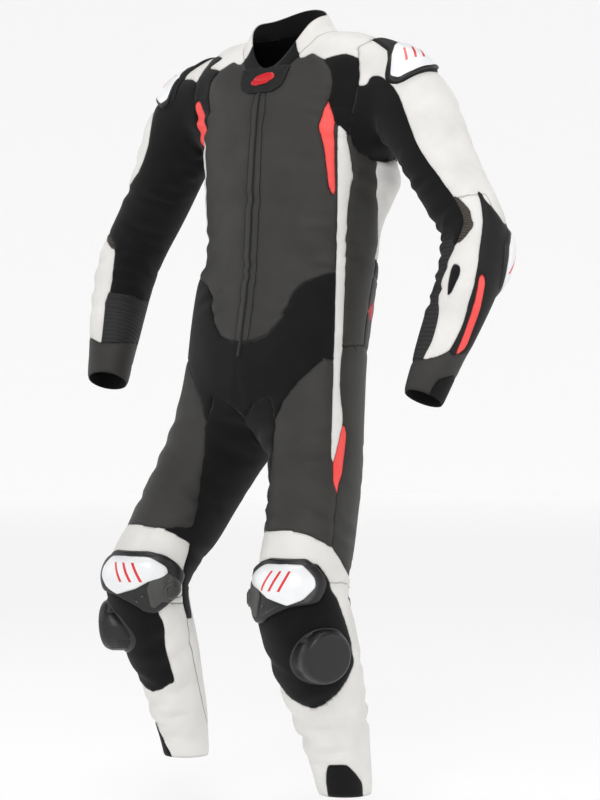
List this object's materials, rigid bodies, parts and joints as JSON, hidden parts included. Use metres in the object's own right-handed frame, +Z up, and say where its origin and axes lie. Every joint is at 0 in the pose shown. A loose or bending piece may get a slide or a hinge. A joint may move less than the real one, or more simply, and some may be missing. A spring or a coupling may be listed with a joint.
{
  "type": "one-piece motorcycle race suit",
  "caption": "Hollow one-piece leather riding suit in its worn pose, with stretch panels, moulded guards at shoulders, elbows and knees, and round knee pucks.",
  "frame": {"origin": "middle of the base of the neck, where the wearer's shoulders carry the suit", "axes": "+Z up, the front of the suit faces -Y, the wearer's left is +X"},
  "size_m": [0.9217, 0.4812, 1.4158],
  "materials": {
    "charcoal_leather": "matt grained",
    "white_leather": "semi-matt grained",
    "red_leather": "semi-matt",
    "black_leather": "satin",
    "stretch": "matt woven stretch",
    "gusset": "ribbed",
    "zip": "zip tape and leather welts",
    "shell": "gloss",
    "puck": "satin",
    "plate": "moulded"
  },
  "bodies": {
    "root": {"abdomen_stretch": "stretch", "back_centre": "charcoal_leather", "back_side_left": "white_leather", "back_side_right": "white_leather", "calf_inner_left": "white_leather", "calf_inner_right": "white_leather", "calf_outer_left": "white_leather", "calf_outer_right": "white_leather", "chest_insert_left": "red_leather", "chest_insert_right": "red_leather", "chest_stretch_left": "stretch", "chest_stretch_right": "stretch", "collar_back": "white_leather", "collar_front": "stretch", "cuff_left": "charcoal_leather", "cuff_right": "charcoal_leather", "elbow_guard_left": "charcoal_leather", "elbow_guard_right": "charcoal_leather", "elbow_gusset_left": "gusset", "elbow_gusset_right": "gusset", "forearm_front_left": "white_leather", "forearm_front_right": "white_leather", "forearm_inner_left": "charcoal_leather", "forearm_inner_right": "charcoal_leather", "front_left": "charcoal_leather", "front_right": "charcoal_leather", "knee_band_left": "white_leather", "knee_band_right": "white_leather", "knee_panel_left": "black_leather", "knee_panel_right": "black_leather", "leg_inner_left": "stretch", "leg_inner_right": "stretch", "lower_back_stretch": "stretch", "seat": "charcoal_leather", "side_panel_left": "charcoal_leather", "side_panel_right": "charcoal_leather", "side_stripe_left": "white_leather", "side_stripe_right": "white_leather", "sleeve_inner_left": "stretch", "sleeve_inner_right": "stretch", "sleeve_outer_left": "white_leather", "sleeve_outer_right": "white_leather", "thigh_front_left": "charcoal_leather", "thigh_front_right": "charcoal_leather", "thigh_outer_left": "charcoal_leather", "thigh_outer_right": "charcoal_leather", "yoke_left": "white_leather", "yoke_right": "white_leather", "zip_panel": "zip", "shoulder_cup_left": "shell", "elbow_cap_left": "shell", "knee_cup_left": "shell", "knee_slider_left": "puck", "knee_plate_left": "plate", "shoulder_cup_right": "shell", "elbow_cap_right": "shell", "knee_cup_right": "shell", "knee_slider_right": "puck", "knee_plate_right": "plate", "zip_flap": "black_leather"}
  },
  "joints": []
}
